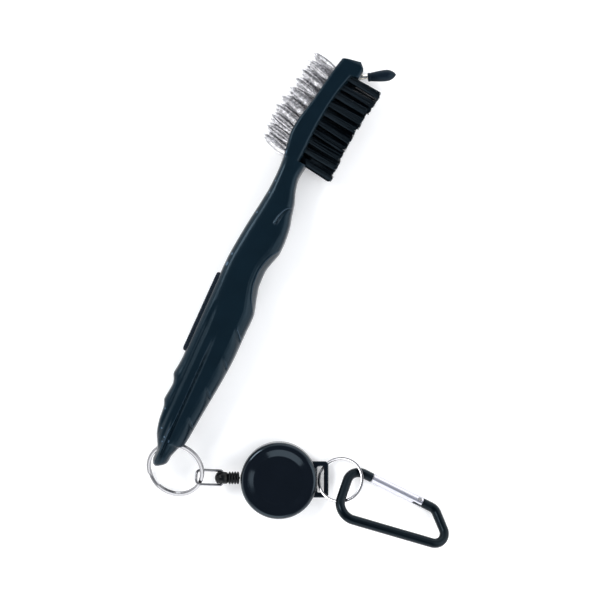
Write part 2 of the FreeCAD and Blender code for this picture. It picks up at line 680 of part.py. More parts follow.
for obj in doc.Objects:
    if "Invalid" in obj.State or "Error" in obj.State:
        raise RuntimeError("object does not build: " + obj.Label)
os.makedirs("parts", exist_ok=True)
for obj in nodes:
    shape = obj.Shape
    if shape.isNull() or not shape.isValid():
        raise RuntimeError("shape is not valid: " + obj.Label)
    shape.exportStep("parts/%s.step" % obj.Label)
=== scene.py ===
import json
import math
import random

import bmesh
import bpy
import numpy as np
from mathutils import Matrix, Vector


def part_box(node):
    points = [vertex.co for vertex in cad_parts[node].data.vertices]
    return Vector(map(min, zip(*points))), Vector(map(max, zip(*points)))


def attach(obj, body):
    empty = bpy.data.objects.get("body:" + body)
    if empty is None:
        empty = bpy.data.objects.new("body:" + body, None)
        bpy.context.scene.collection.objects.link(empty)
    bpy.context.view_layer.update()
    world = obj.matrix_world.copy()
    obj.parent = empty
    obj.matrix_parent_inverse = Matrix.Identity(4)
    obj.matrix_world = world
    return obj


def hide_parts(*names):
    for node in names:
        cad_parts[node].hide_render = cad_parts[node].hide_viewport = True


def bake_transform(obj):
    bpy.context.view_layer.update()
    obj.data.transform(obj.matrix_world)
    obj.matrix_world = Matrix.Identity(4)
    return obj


# Club groove brush with its key ring, cord reel and carabiner. Metres, in the CAD frame:
# +X along the handle towards the head, +Y towards the wire tufts, +Z up from the table.

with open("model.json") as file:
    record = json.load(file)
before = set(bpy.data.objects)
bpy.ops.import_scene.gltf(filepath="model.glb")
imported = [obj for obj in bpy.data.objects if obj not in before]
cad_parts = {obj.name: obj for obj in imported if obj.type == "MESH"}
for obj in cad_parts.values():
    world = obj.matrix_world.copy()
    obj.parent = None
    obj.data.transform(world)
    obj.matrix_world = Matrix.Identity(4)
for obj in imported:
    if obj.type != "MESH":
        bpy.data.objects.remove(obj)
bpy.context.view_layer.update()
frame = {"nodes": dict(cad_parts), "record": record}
scene = bpy.context.scene
MM = 0.001
JOINTS = {joint["name"]: joint for joint in frame["record"]["behaviour"]["joints"]}


def joint_point(name):
    return Vector(JOINTS[name]["pos_m"])


def joint_axis(name):
    return Vector(JOINTS[name]["axis"]).normalized()


# ------------------------------------------------------------------ camera and studio

VIEW_WIDTH = 0.240
CAMERA_HEIGHT = 0.55
LOOK_AT = Vector((-0.0749, -0.0237, 0.009))
CAMERA_TURN = math.radians(-65.7)
CAMERA_SENSOR = 36.0
# Name, place along the picture's right, up and towards the camera, size, power in watts.
LIGHTS = [("key", (-0.55, 0.40, 0.75), 0.34, 4.8), ("fill", (0.75, -0.10, 0.70), 0.70, 3.5),
          ("low", (-0.20, -0.85, 0.70), 0.70, 3.5)]
WORLD_STRENGTH = 2.6
PALE_BELOW, DARK_ABOVE = 0.22, 0.78
FLOOR_REACH = 4.0
FLOOR_DROP = 0.00005
FLOOR_GLOW = 0.16


def add_camera():
    data = bpy.data.cameras.new("camera")
    data.sensor_width = CAMERA_SENSOR
    data.lens = data.sensor_width * (CAMERA_HEIGHT - LOOK_AT.z) / VIEW_WIDTH
    data.clip_start = 0.01
    camera = bpy.data.objects.new("camera", data)
    camera.location = (LOOK_AT.x, LOOK_AT.y, CAMERA_HEIGHT)
    camera.rotation_euler = (0, 0, CAMERA_TURN)
    scene.collection.objects.link(camera)
    scene.camera = camera


def photo_direction(right, up, height):
    """Point round the camera's target, given along the picture's own axes."""
    turn = Matrix.Rotation(CAMERA_TURN, 3, "Z")
    return LOOK_AT + turn @ Vector((right, up, height))


def add_area_light(name, place, size, power):
    data = bpy.data.lights.new(name, "AREA")
    data.shape = "SQUARE"
    data.size = size
    data.energy = power
    light = bpy.data.objects.new(name, data)
    light.location = place
    light.rotation_euler = (LOOK_AT - place).to_track_quat("-Z", "Y").to_euler()
    scene.collection.objects.link(light)


def add_world():
    """Pale at the horizon and darker overhead, so black plastic seen from above stays black."""
    world = bpy.data.worlds.new("studio")
    scene.world = world
    world.use_nodes = True
    nodes, links = world.node_tree.nodes, world.node_tree.links
    background = nodes["Background"]
    background.inputs["Strength"].default_value = WORLD_STRENGTH
    place = nodes.new("ShaderNodeTexCoord")
    split = nodes.new("ShaderNodeSeparateXYZ")
    ramp = nodes.new("ShaderNodeValToRGB")
    ramp.color_ramp.elements[0].position = PALE_BELOW
    ramp.color_ramp.elements[0].color = (1.0, 1.0, 1.0, 1)
    ramp.color_ramp.elements[1].position = DARK_ABOVE
    ramp.color_ramp.elements[1].color = (0.07, 0.08, 0.10, 1)
    links.new(place.outputs["Generated"], split.inputs["Vector"])
    links.new(split.outputs["Z"], ramp.inputs["Fac"])
    links.new(ramp.outputs["Color"], background.inputs["Color"])


def add_studio():
    add_world()
    for name, direction, size, power in LIGHTS:
        add_area_light(name, photo_direction(*direction), size, power)
    scene.view_settings.view_transform = "Standard"

    floor_mesh = bpy.data.meshes.new("floor")
    signs = ((-1, -1), (1, -1), (1, 1), (-1, 1))
    corners = [(x * FLOOR_REACH, y * FLOOR_REACH, 0) for x, y in signs]
    floor_mesh.from_pydata(corners, [], [(0, 1, 2, 3)])
    floor = bpy.data.objects.new("floor", floor_mesh)
    floor.location.z = -FLOOR_DROP
    paper = make_material("floor_white", (0.93, 0.93, 0.93), 0.6, mottle=0.01, grain=0.0)
    shader = paper.node_tree.nodes["Principled BSDF"]
    shader.inputs["Emission Color"].default_value = (1, 1, 1, 1)
    shader.inputs["Emission Strength"].default_value = FLOOR_GLOW
    floor_mesh.materials.append(paper)
    scene.collection.objects.link(floor)


# ------------------------------------------------------------------ materials

def ramp_colours(nodes, low, high):
    ramp = nodes.new("ShaderNodeValToRGB")
    ramp.color_ramp.elements[0].color = (*low, 1)
    ramp.color_ramp.elements[1].color = (*high, 1)
    ramp.color_ramp.elements[0].position = 0.3
    ramp.color_ramp.elements[1].position = 0.7
    return ramp


def make_material(name, colour, roughness, metallic=0.0, mottle=0.12, mottle_scale=120.0,
                  grain=0.15, grain_scale=2500.0, rough_spread=0.06, coat=0.0, stretch=(1, 1, 1),
                  edge_highlight=None, specular=0.5, tint=(1, 1, 1)):
    """Principled material with mottled colour, uneven roughness and a fine bump.

    stretch scales the texture space, so one long axis gives brushed or drawn streaks; the paler
    edge colour is a painted highlight, mixed in along sharp edges."""
    material = bpy.data.materials.new(name)
    material.use_nodes = True
    nodes, links = material.node_tree.nodes, material.node_tree.links
    shader = nodes["Principled BSDF"]
    shader.inputs["Metallic"].default_value = metallic
    shader.inputs["Specular IOR Level"].default_value = specular
    shader.inputs["Specular Tint"].default_value = (*tint, 1)
    if coat:
        shader.inputs["Coat Weight"].default_value = coat
        shader.inputs["Coat Roughness"].default_value = 0.08
    place = nodes.new("ShaderNodeTexCoord")
    mapping = nodes.new("ShaderNodeMapping")
    mapping.inputs["Scale"].default_value = stretch
    links.new(place.outputs["Object"], mapping.inputs["Vector"])

    def noise(scale, detail):
        texture = nodes.new("ShaderNodeTexNoise")
        texture.inputs["Scale"].default_value = scale
        texture.inputs["Detail"].default_value = detail
        links.new(mapping.outputs["Vector"], texture.inputs["Vector"])
        return texture.outputs["Fac"]

    low = [channel * (1 - mottle) for channel in colour]
    high = [min(1.0, channel * (1 + mottle)) for channel in colour]
    ramp = ramp_colours(nodes, low, high)
    links.new(noise(mottle_scale, 4), ramp.inputs["Fac"])
    base = ramp.outputs["Color"]
    # Painted highlight: a paler colour mixed into the base where the mesh is pointy, along sharp
    # edges.
    if edge_highlight:
        edges = nodes.new("ShaderNodeNewGeometry")
        edge_highlight_mask = ramp_colours(nodes, (0, 0, 0), (1, 1, 1))
        edge_highlight_mask.color_ramp.elements[0].position = 0.52
        edge_highlight_mask.color_ramp.elements[1].position = 0.60
        links.new(edges.outputs["Pointiness"], edge_highlight_mask.inputs["Fac"])
        mix = nodes.new("ShaderNodeMix")
        mix.data_type = "RGBA"
        mix.inputs["B"].default_value = (*edge_highlight, 1)
        links.new(edge_highlight_mask.outputs["Color"], mix.inputs["Factor"])
        links.new(base, mix.inputs["A"])
        base = mix.outputs["Result"]
    links.new(base, shader.inputs["Base Color"])

    spread = nodes.new("ShaderNodeMapRange")
    spread.inputs["To Min"].default_value = max(0.02, roughness - rough_spread)
    spread.inputs["To Max"].default_value = min(1.0, roughness + rough_spread)
    links.new(noise(mottle_scale * 3, 3), spread.inputs["Value"])
    links.new(spread.outputs["Result"], shader.inputs["Roughness"])
    if grain:
        bump = nodes.new("ShaderNodeBump")
        bump.inputs["Strength"].default_value = grain
        bump.inputs["Distance"].default_value = 0.00004
        links.new(noise(grain_scale, 2), bump.inputs["Height"])
        links.new(bump.outputs["Normal"], shader.inputs["Normal"])
    return material


def make_materials():
    steel = dict(metallic=1.0, mottle=0.06)
    blue = (0.55, 0.80, 1.0)
    return {
        # The paler edge colours given to the dark plastics and the black aluminium are painted
        # highlights.
        "navy_plastic": make_material("navy_plastic", (0.0026, 0.0078, 0.0128), 0.24, mottle=0.10,
                                      grain=0.10, edge_highlight=(0.040, 0.070, 0.105), specular=0.17,
                                      tint=blue),
        "grip_rubber": make_material("grip_rubber", (0.004, 0.006, 0.011), 0.66, mottle=0.25,
                                     grain=0.5, grain_scale=1400, specular=0.15, tint=blue),
        "nylon": make_material("nylon", (0.0010, 0.0018, 0.0030), 0.22, mottle=0.35,
                               mottle_scale=900, grain=0.1, specular=0.2, tint=blue),
        "wire": make_material("wire", (0.60, 0.60, 0.62), 0.26, mottle=0.35, mottle_scale=700,
                              metallic=1.0, grain=0.2),
        "pin_steel": make_material("pin_steel", (0.86, 0.83, 0.74), 0.24, grain=0.1, **steel),
        "cap_plastic": make_material("cap_plastic", (0.004, 0.008, 0.014), 0.33, mottle=0.2,
                                     edge_highlight=(0.02, 0.03, 0.04), grain=0.15,
                                     specular=0.12, tint=blue),
        "nickel": make_material("nickel", (0.24, 0.24, 0.25), 0.13, grain=0.08, **steel),
        "reel_plastic": make_material("reel_plastic", (0.002, 0.003, 0.005), 0.12, coat=0.15,
                                      mottle=0.1, grain=0.03, edge_highlight=(0.012, 0.016, 0.022),
                                      specular=0.3, tint=blue),
        "black_plastic": make_material("black_plastic", (0.002, 0.003, 0.004), 0.28, grain=0.12,
                                       edge_highlight=(0.010, 0.012, 0.015), specular=0.16),
        "cord": make_material("cord", (0.006, 0.006, 0.007), 0.7, mottle=0.5, mottle_scale=2600,
                              grain=0.9, grain_scale=3500, specular=0.3),
        "spring_steel": make_material("spring_steel", (0.45, 0.47, 0.52), 0.28, grain=0.1,
                                      **steel),
        "inner_plastic": make_material("inner_plastic", (0.70, 0.70, 0.67), 0.45, grain=0.1),
        "black_aluminium": make_material("black_aluminium", (0.0012, 0.0026, 0.0040), 0.22,
                                         mottle=0.15, grain=0.06, coat=0.03,
                                         edge_highlight=(0.010, 0.014, 0.018), specular=0.14, tint=blue),
        "silver_aluminium": make_material("silver_aluminium", (0.62, 0.62, 0.68), 0.28,
                                          metallic=0.9, mottle=0.08, grain=0.3,
                                          grain_scale=900, stretch=(1, 0.06, 1)),
        "brass": make_material("brass", (0.70, 0.52, 0.26), 0.3, grain=0.1, **steel),
    }


# ------------------------------------------------------------------ mesh helpers

def add_piece(name, vertices, faces, slot, body, stands_for=(), sharp=35.0):
    """New mesh piece in the object's frame, smooth except at edges sharper than the angle."""
    mesh = bpy.data.meshes.new(name)
    mesh.from_pydata([tuple(v) for v in vertices], [], faces)
    mesh.validate()
    piece = bpy.data.objects.new(name, mesh)
    scene.collection.objects.link(piece)
    mesh.materials.append(MATERIALS[slot])
    finish_shading(mesh, sharp)
    if body:
        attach(piece, body)
    if stands_for:
        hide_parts(*stands_for)
    return piece


def finish_shading(mesh, sharp):
    work = bmesh.new()
    work.from_mesh(mesh)
    bmesh.ops.recalc_face_normals(work, faces=work.faces)
    work.to_mesh(mesh)
    work.free()
    mesh.shade_smooth()
    mesh.set_sharp_from_angle(angle=math.radians(sharp))


def grid_faces(rings, around, cap_start=True, cap_end=True, first=0):
    """Quads between successive closed rings of vertices, with flat caps at the ends."""
    faces = []
    for ring in range(rings - 1):
        low, high = first + ring * around, first + (ring + 1) * around
        for side in range(around):
            following = (side + 1) % around
            faces.append((low + side, low + following, high + following, high + side))
    if cap_start:
        faces.append(tuple(range(first + around - 1, first - 1, -1)))
    if cap_end:
        last = first + (rings - 1) * around
        faces.append(tuple(range(last, last + around)))
    return faces


def lathe(profile, segments, place):
    """Closed surface of revolution from (radius, height) points, about the place's Z axis."""
    vertices = []
    for radius, height in profile:
        for step in range(segments):
            angle = 2 * math.pi * step / segments
            local = Vector((radius * math.cos(angle), radius * math.sin(angle), height))
            vertices.append(place @ local)
    return vertices, grid_faces(len(profile), segments)


def axis_frame(origin, direction, hint=Vector((0, 0, 1))):
    """Matrix with its Z along the direction and X as near to the hint as it can be."""
    z_axis = direction.normalized()
    x_axis = (hint - z_axis * hint.dot(z_axis)).normalized()
    y_axis = z_axis.cross(x_axis)
    return Matrix.Translation(origin) @ Matrix((x_axis, y_axis, z_axis)).transposed().to_4x4()


def sweep(points, section, side_of, closed):
    """Tube whose section (u, v) is set across the path; side_of gives the u direction."""
    count = len(points)
    vertices = []
    for index, point in enumerate(points):
        ahead = points[(index + 1) % count] if closed or index < count - 1 else point
        behind = points[index - 1] if closed or index > 0 else point
        along = (ahead - behind).normalized()
        side = side_of(index)
        side = (side - along * side.dot(along)).normalized()
        other = along.cross(side)
        for u, v in section:
            vertices.append(point + side * u + other * v)
    around = len(section)
    faces = grid_faces(count, around, cap_start=not closed, cap_end=not closed)
    if closed:
        last = (count - 1) * around
        for step in range(around):
            following = (step + 1) % around
            faces.append((last + step, last + following, following, step))
    return vertices, faces


def rounded_section(width, height, radius, steps=4):
    """Rounded rectangle, anticlockwise, centred on the path."""
    section = []
    for corner, (sx, sy) in enumerate(((1, 1), (-1, 1), (-1, -1), (1, -1))):
        for step in range(steps + 1):
            angle = math.pi / 2 * (corner + step / steps)
            section.append((sx * (width / 2 - radius) + radius * math.cos(angle),
                            sy * (height / 2 - radius) + radius * math.sin(angle)))
    return section


def round_section(radius, steps):
    angles = [2 * math.pi * k / steps for k in range(steps)]
    return [(radius * math.cos(angle), radius * math.sin(angle)) for angle in angles]


# ------------------------------------------------------------------ handle

HANDLE_LOW, HANDLE_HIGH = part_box("handle_body")
MID_Z = (HANDLE_LOW[2] + HANDLE_HIGH[2]) / 2

# Outline of the handle and head in millimetres, wire side then nylon side.
WIRE_SIDE = [(-159.0, 1.9), (-158.6, 2.7), (-157.5, 3.5), (-156.0, 3.85), (-152.5, 3.8),
             (-151.0, 4.3), (-146.0, 6.7), (-141.0, 7.8), (-136.0, 8.25), (-134.8, 8.5),
             (-132.5, 9.35), (-129.0, 9.0), (-126.0, 8.75), (-124.5, 9.0), (-121.5, 10.15),
             (-118.0, 9.75), (-114.0, 9.5), (-95.0, 9.6), (-76.0, 9.6), (-71.0, 9.5),
             (-66.0, 9.1), (-56.0, 8.0), (-46.0, 6.6), (-38.0, 5.7), (-31.0, 5.5), (-26.0, 5.85),
             (-20.0, 6.6), (-15.4, 7.08), (-14.6, 7.05), (0.0, 4.15), (18.0, 0.6), (18.9, 0.3),
             (19.3, -0.5), (20.4, -6.6)]
NYLON_SIDE = [(-159.0, 1.6), (-158.4, 0.4), (-156.8, -1.6), (-156.0, -2.1), (-153.0, -2.5),
              (-149.9, -3.5), (-148.3, -4.2), (-147.5, -5.3), (-146.0, -5.7), (-141.0, -6.2),
              (-131.0, -7.2), (-116.0, -8.8), (-106.0, -9.4), (-96.0, -9.4), (-91.0, -9.55),
              (-88.3, -9.45), (-86.0, -8.95), (-81.0, -7.55), (-76.0, -6.5), (-71.0, -6.4),
              (-66.0, -7.45), (-61.2, -8.75), (-58.0, -8.85), (-51.0, -8.3), (-46.0, -7.1),
              (-41.0, -6.0), (-36.0, -4.3), (-31.0, -3.4), (-27.5, -3.75), (-25.5, -4.0),
              (-25.3, -1.25), (13.9, -5.92), (14.3, -8.6), (15.2, -9.15), (17.6, -9.3),
              (18.4, -9.1), (20.4, -7.3)]
HALF_THICKNESS = [(-159.0, 1.4), (-158.3, 3.6), (-156.5, 5.4), (-151.0, 6.9), (-145.0, 8.0),
                  (-134.0, 9.0), (-58.0, 9.0), (-48.0, 8.4), (-38.0, 7.8), (-30.0, 7.8),
                  (-22.0, 8.7), (-15.0, 9.0), (18.6, 9.0), (19.4, 8.7), (20.4, 8.0)]
SQUARENESS = [(-159.0, 2.2), (-145.0, 3.8), (-134.0, 5.2), (-60.0, 5.2), (-38.0, 4.2),
              (-27.0, 4.4), (-18.0, 8.0), (14.0, 10.0), (19.0, 10.0), (20.4, 8.0)]
SCALLOP_EDGE = [(-87.2, -9.0), (-81.0, -5.9), (-76.0, -4.7), (-72.0, -4.5), (-68.0, -5.1),
                (-64.0, -6.5), (-60.5, -8.6)]
THUMB_CREASE = [(-52.0, -1.9), (-48.0, -2.6), (-45.0, -3.7), (-43.0, -5.9)]
GILL_EDGES = (-138.2, -124.4, -111.2, -99.0)
GILL_RAMP = 8.5
GILL_WALL = 1.5
GILL_LIP = 0.45
GILL_SLANT = 1.2


def through(points, x):
    """Smooth curve through the outline's points that never overshoots between them."""
    known = np.array(points)
    spans = np.diff(known[:, 0])
    slopes = np.diff(known[:, 1]) / spans
    tangents = np.zeros(len(known))
    tangents[0], tangents[-1] = slopes[0], slopes[-1]
    for k in range(1, len(known) - 1):
        if slopes[k - 1] * slopes[k] > 0:
            before, after = 2 * spans[k] + spans[k - 1], spans[k] + 2 * spans[k - 1]
            tangents[k] = (before + after) / (before / slopes[k - 1] + after / slopes[k])
    place = np.clip(np.searchsorted(known[:, 0], x) - 1, 0, len(spans) - 1)
    width = spans[place]
    t = np.clip((x - known[place, 0]) / width, 0, 1)
    return ((2 * t ** 3 - 3 * t ** 2 + 1) * known[place, 1]
            + (t ** 3 - 2 * t ** 2 + t) * width * tangents[place]
            + (3 * t ** 2 - 2 * t ** 3) * known[place + 1, 1]
            + (t ** 3 - t ** 2) * width * tangents[place + 1])


def bell(distance, width):
    return np.exp(-(distance / width) ** 2)


def fade(x, start, end, soft):
    """1 between start and end, falling to 0 over the soft distance outside them."""
    return np.clip((x - start) / soft + 1, 0, 1) * np.clip((end - x) / soft + 1, 0, 1)


def gill_depth(x, y, bottom):
    """Scale-like steps down the lower facet: each sinks slowly, then rises in a slanted wall."""
    depth = np.zeros_like(x)
    height = y - bottom - 0.4
    reach = np.clip(1 - height / 3.9, 0, 1)
    for edge in GILL_EDGES:
        travelled = x - edge - height * GILL_SLANT
        ramp = np.clip((travelled + GILL_RAMP) / (GILL_RAMP - GILL_WALL), 0, 1) ** 3
        wall = np.clip(-travelled / GILL_WALL, 0, 1)
        lip = bell(travelled + 0.2, GILL_LIP) * fade(height, 0.2, 3.2, 0.6)
        depth = np.maximum(depth, 1.6 * reach * ramp * wall) - 0.50 * lip
    return depth


def carve(x, y, half, bottom):
    """Half thickness at (x, y) after the grip's ridges, flutes, gills and finger scallop."""
    edge = np.clip((y - bottom) / 3.0, 0, 1)
    grip = fade(x, -152.0, -112.0, 14.0)
    half = half + grip * edge * (0.70 * bell(y - 2.3, 0.60) - 0.66 * bell(y - 1.1, 0.55))
    half = half - 0.70 * fade(x, -143.0, -100.0, 12.0) * bell(y - 5.75, 0.9)
    half = half + 0.25 * fade(x, -140.0, -70.0, 14.0) * bell(y - 8.0, 0.8)

    facet = bottom + 3.9 - y
    lower = fade(x, -146.0, -62.0, 8.0)
    half = half - lower * 0.42 * np.clip(facet, 0, None) - lower * 0.15 * bell(facet, 0.35)
    half = half - gill_depth(x, y, bottom)

    scallop = through(SCALLOP_EDGE, x)
    within = (x > SCALLOP_EDGE[0][0]) & (x < SCALLOP_EDGE[-1][0])
    below = np.clip(scallop - y, 0, None)
    half = half - np.where(within, 1.15 * below, 0)
    half = half + np.where(within, 0.42 * bell(y - scallop - 0.35, 0.38), 0)

    crease = through(THUMB_CREASE, x)
    near = fade(x, -51.0, -43.5, 1.5)
    half = half + near * (0.36 * bell(y - crease, 0.36) - 0.45 * bell(y - crease + 0.6, 0.5))
    return half


def superellipse(squareness, around):
    """Unit outline evenly spaced along its length, starting at +Y."""
    angle = np.linspace(0, 2 * np.pi, 1441)
    power = 2.0 / squareness
    y = np.sign(np.cos(angle)) * np.abs(np.cos(angle)) ** power
    z = np.sign(np.sin(angle)) * np.abs(np.sin(angle)) ** power
    travelled = np.concatenate([[0], np.cumsum(np.hypot(np.diff(y), np.diff(z)))])
    even = np.linspace(0, travelled[-1], around + 1)[:-1]
    return np.interp(even, travelled, y), np.interp(even, travelled, z)


def handle_stations():
    """Places along the handle: close together at the tip, the steps and the front."""
    spread = [np.linspace(-159.0, -155.0, 24), np.linspace(-154.8, -26.0, 520),
              np.linspace(-25.8, -25.0, 7), np.linspace(-24.6, 13.4, 60),
              np.linspace(13.6, 14.6, 7), np.linspace(14.9, 20.4, 40)]
    return np.concatenate(spread)


def build_handle():
    around = 208
    vertices = []
    stations = handle_stations()
    top_edge, bottom_edge = through(WIRE_SIDE, stations), through(NYLON_SIDE, stations)
    thick, square = through(HALF_THICKNESS, stations), through(SQUARENESS, stations)
    for x, top, bottom, half, power in zip(stations, top_edge, bottom_edge, thick, square):
        unit_y, unit_z = superellipse(power, around)
        y = (top + bottom) / 2 + unit_y * (top - bottom) / 2
        shaped = carve(np.full(around, x), y, np.full(around, half), bottom)
        z = unit_z * np.minimum(shaped, 9.0)
        vertices += [(x * MM, a * MM, MID_Z + b * MM) for a, b in zip(y, z)]
    faces = grid_faces(len(stations), around)
    handle = add_piece("handle_shell", vertices, faces, "navy_plastic", None)
    cut_eyelet(handle)
    finish_shading(handle.data, 32.0)
    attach(handle, "brush")
    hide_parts("handle_body")


def cut_eyelet(handle):
    """Cuts the ring's hole straight through the tip."""
    centre, direction = joint_point("ring_swing"), joint_axis("ring_swing")
    radius, reach = 3.0 * MM, 9.0 * MM
    profile = [(radius, -reach), (radius, reach)]
    vertices, faces = lathe(profile, 48, axis_frame(centre, direction))
    mesh = bpy.data.meshes.new("eyelet_cutter")
    mesh.from_pydata([tuple(v) for v in vertices], [], faces)
    cutter = bpy.data.objects.new("eyelet_cutter", mesh)
    scene.collection.objects.link(cutter)
    modifier = handle.modifiers.new("eyelet", "BOOLEAN")
    modifier.operation = "DIFFERENCE"
    modifier.object = cutter
    modifier.solver = "EXACT"
    bpy.context.view_layer.update()
    cut = bpy.data.meshes.new_from_object(
        handle.evaluated_get(bpy.context.evaluated_depsgraph_get()))
    handle.modifiers.clear()
    handle.data = cut
    bpy.data.objects.remove(cutter)


def build_grip_pad():
    """Raised pad on the back of the grip, with a crowned top and rolled edges."""
    low, high = (Vector(corner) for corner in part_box("back_grip_pad"))
    centre = (low + high) / 2
    length, width, depth = high.x - low.x, high.z - low.z, high.y - low.y
    corner = 2.0 * MM
    rings = [(0.0, 0.0), (0.62, 0.0), (0.80, 0.12), (0.92, 0.35), (0.98, 0.7), (1.0, 1.1),
             (1.0, 1.5), (0.96, 1.75), (0.6, 1.8)]
    outline = rounded_section(length, width, corner, 8)
    vertices = []
    for height, inset in rings:
        for u, v in outline:
            pull_u = math.copysign(min(abs(u), inset * MM), u)
            pull_v = math.copysign(min(abs(v), inset * MM), v)
            crown = 0.12 * MM * (1 - (v / (width / 2)) ** 2) if height > 0.5 else 0
            vertices.append(Vector((centre.x + u - pull_u, low.y + height * (depth - 0.12 * MM)
                                    + crown, centre.z + v - pull_v)))
    faces = grid_faces(len(rings), len(outline))
    add_piece("grip_pad", vertices, faces, "grip_rubber", "brush", ["back_grip_pad"], sharp=50)


# ------------------------------------------------------------------ tufts

WIRE_LEAN = math.radians(11.2)
NYLON_LEAN = math.radians(6.8)
ROW_GAP = 5.2 * MM


def head_line(points, x):
    return float(through(points, np.array([x]))[0])


def tuft_roots(points, lean, side, first, pitch, counts):
    """Root and outward direction of each tuft, row by row, middle row half a pitch on."""
    outward = Vector((side * math.sin(lean), side * math.cos(lean), 0))
    for level, count in zip((-1, 0, 1), counts):
        start = first + (pitch / 2 if level == 0 else 0)
        for index in range(count):
            x = start + index * pitch
            yield Vector((x * MM, head_line(points, x) * MM, MID_Z + level * ROW_GAP)), outward


def add_strand(vertices, faces, points, radius, sides):
    """Thin tube through the points, with a fixed side direction."""
    side = Vector((0.31, 0.17, 0.93)).normalized()
    rings, tube = sweep(points, round_section(radius, sides), lambda index: side, False)
    first = len(vertices)
    vertices += rings
    faces += [tuple(first + corner for corner in face) for face in tube]


def disc_point(rng, radius):
    angle = rng.uniform(0, 2 * math.pi)
    distance = radius * math.sqrt(rng.random())
    return distance * math.cos(angle), distance * math.sin(angle)


def build_wire_tufts():
    """Crimped steel wires: each tuft swells above its hole and gathers to a leaning point."""
    rng = random.Random(5)
    wires, segments = 74, 17
    vertices, faces = [], []
    for root, outward in tuft_roots(WIRE_SIDE, WIRE_LEAN, 1, -23.6, 4.2, (10, 9, 10)):
        along = Vector((outward.y, -outward.x, 0))
        middle = abs(root.z - MID_Z) < MM
        bulk = 0.82 if middle else 1.0
        lean = rng.uniform(0.2, 0.9) * MM
        full = rng.uniform(10.4, 11.0) * MM * (0.93 if middle else 1.0)
        for _ in range(wires):
            a, b = disc_point(rng, 1.0)
            reach = full * (1 - 0.17 * math.hypot(a, b) ** 2 * rng.uniform(0.8, 1.1))
            phase, turn = rng.uniform(0, 6.28), rng.uniform(0, 6.28)
            wave = rng.uniform(1.3, 1.7) * MM
            points = []
            for step in range(segments + 1):
                s = step / segments
                rise = s * (reach + 1.0 * MM) - 1.0 * MM
                t = max(0.0, rise / full)
                swell = 0.60 * math.sin(min(1.0, t * 2.4) * math.pi / 2)
                width = bulk * (0.90 + swell - 1.28 * t ** 3.6)
                crimp = 0.09 * MM * math.sin(2 * math.pi * rise / wave + phase)
                points.append(root + outward * rise
                              + along * (a * width * MM + lean * s * s + crimp * math.cos(turn))
                              + Vector((0, 0, b * width * MM * 0.9 + crimp * math.sin(turn))))
            add_strand(vertices, faces, points, 0.09 * MM, 3)
    add_piece("wire_bristles", vertices, faces, "wire", "brush", ["wire_tufts"], sharp=80)


def build_nylon_tufts():
    """Straight nylon filaments, a little splayed, cut off raggedly."""
    rng = random.Random(11)
    filaments, segments = 84, 4
    vertices, faces = [], []
    for root, outward in tuft_roots(NYLON_SIDE, NYLON_LEAN, -1, -23.7, 4.1, (10, 9, 10)):
        along = Vector((-outward.y, outward.x, 0))
        lean = rng.uniform(-0.45, 0.45) * MM
        full = rng.uniform(13.4, 14.5) * MM
        bevel = rng.uniform(-0.5, 0.5) * MM
        for _ in range(filaments):
            a, b = disc_point(rng, 1.0)
            splay = 1.44 + rng.uniform(-0.15, 0.25)
            reach = full + rng.uniform(-0.7, 0.25) * MM + bevel * a
            reach = min(reach, 14.6 * MM)
            bow = rng.uniform(-0.2, 0.2) * MM
            points = []
            for step in range(segments + 1):
                s = step / segments
                width = 1.12 + (splay - 1.12) * s ** 1.4
                sway = lean * s + bow * math.sin(math.pi * s)
                points.append(root + outward * (s * (reach + 0.8 * MM) - 0.8 * MM)
                              + along * (a * width * MM + sway)
                              + Vector((0, 0, b * width * MM + bow * s)))
            add_strand(vertices, faces, points, 0.11 * MM, 4)
    add_piece("nylon_bristles", vertices, faces, "nylon", "brush", ["nylon_tufts"], sharp=60)


# ------------------------------------------------------------------ spike cap

def build_spike_cap():
    """Bullet-shaped cap with a rolled mouth, a shallow grip waist and a rounded nose."""
    low, high = (Vector(corner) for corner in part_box("spike_cap"))
    axis = joint_axis("cap_pull")
    centre = (low + high) / 2
    mouth, length = (high.z - low.z) / 2, 11.4 * MM
    start = centre - axis * length / 2
    profile = [(0.96 * MM, 2.5 * MM), (0.96 * MM, 0.1 * MM), (1.1 * MM, 0),
               (mouth - 0.25 * MM, 0), (mouth - 0.05 * MM, 0.12 * MM), (mouth, 0.35 * MM),
               (mouth + 0.02 * MM, 0.9 * MM), (mouth - 0.08 * MM, 1.05 * MM),
               (mouth - 0.08 * MM, 1.3 * MM), (mouth + 0.03 * MM, 1.5 * MM)]
    steps = 26
    for step in range(1, steps + 1):
        t = step / steps
        swell = 0.58 * MM * math.sin(math.pi / 2 * min(1.0, t / 0.62))
        taper = (1 - max(0.0, (t - 0.60) / 0.40) ** 1.9) ** 0.72
        radius = (mouth + swell) * max(taper, 0.02)
        profile.append((radius, 1.5 * MM + (length - 1.5 * MM) * t))
    vertices, faces = lathe(profile, 64, axis_frame(start, axis))
    add_piece("cap_shell", vertices, faces, "cap_plastic", "spike_cap", ["spike_cap"])


# ------------------------------------------------------------------ rings

RING_JOG = math.radians(34)
RING_TURN_GAP = 0.03 * MM
# Piece, CAD node, body, joint at the ring's centre, radius, strand width, strand thickness, jog.
RINGS = [("key_ring_coil", "handle_split_ring", "key_ring", "link_slide", 11.2, 1.55, 0.72, 160),
         ("strap_ring_coil", "reel_split_ring", "strap_ring", "carabiner_turn", 8.85, 1.1, 0.39,
          100)]


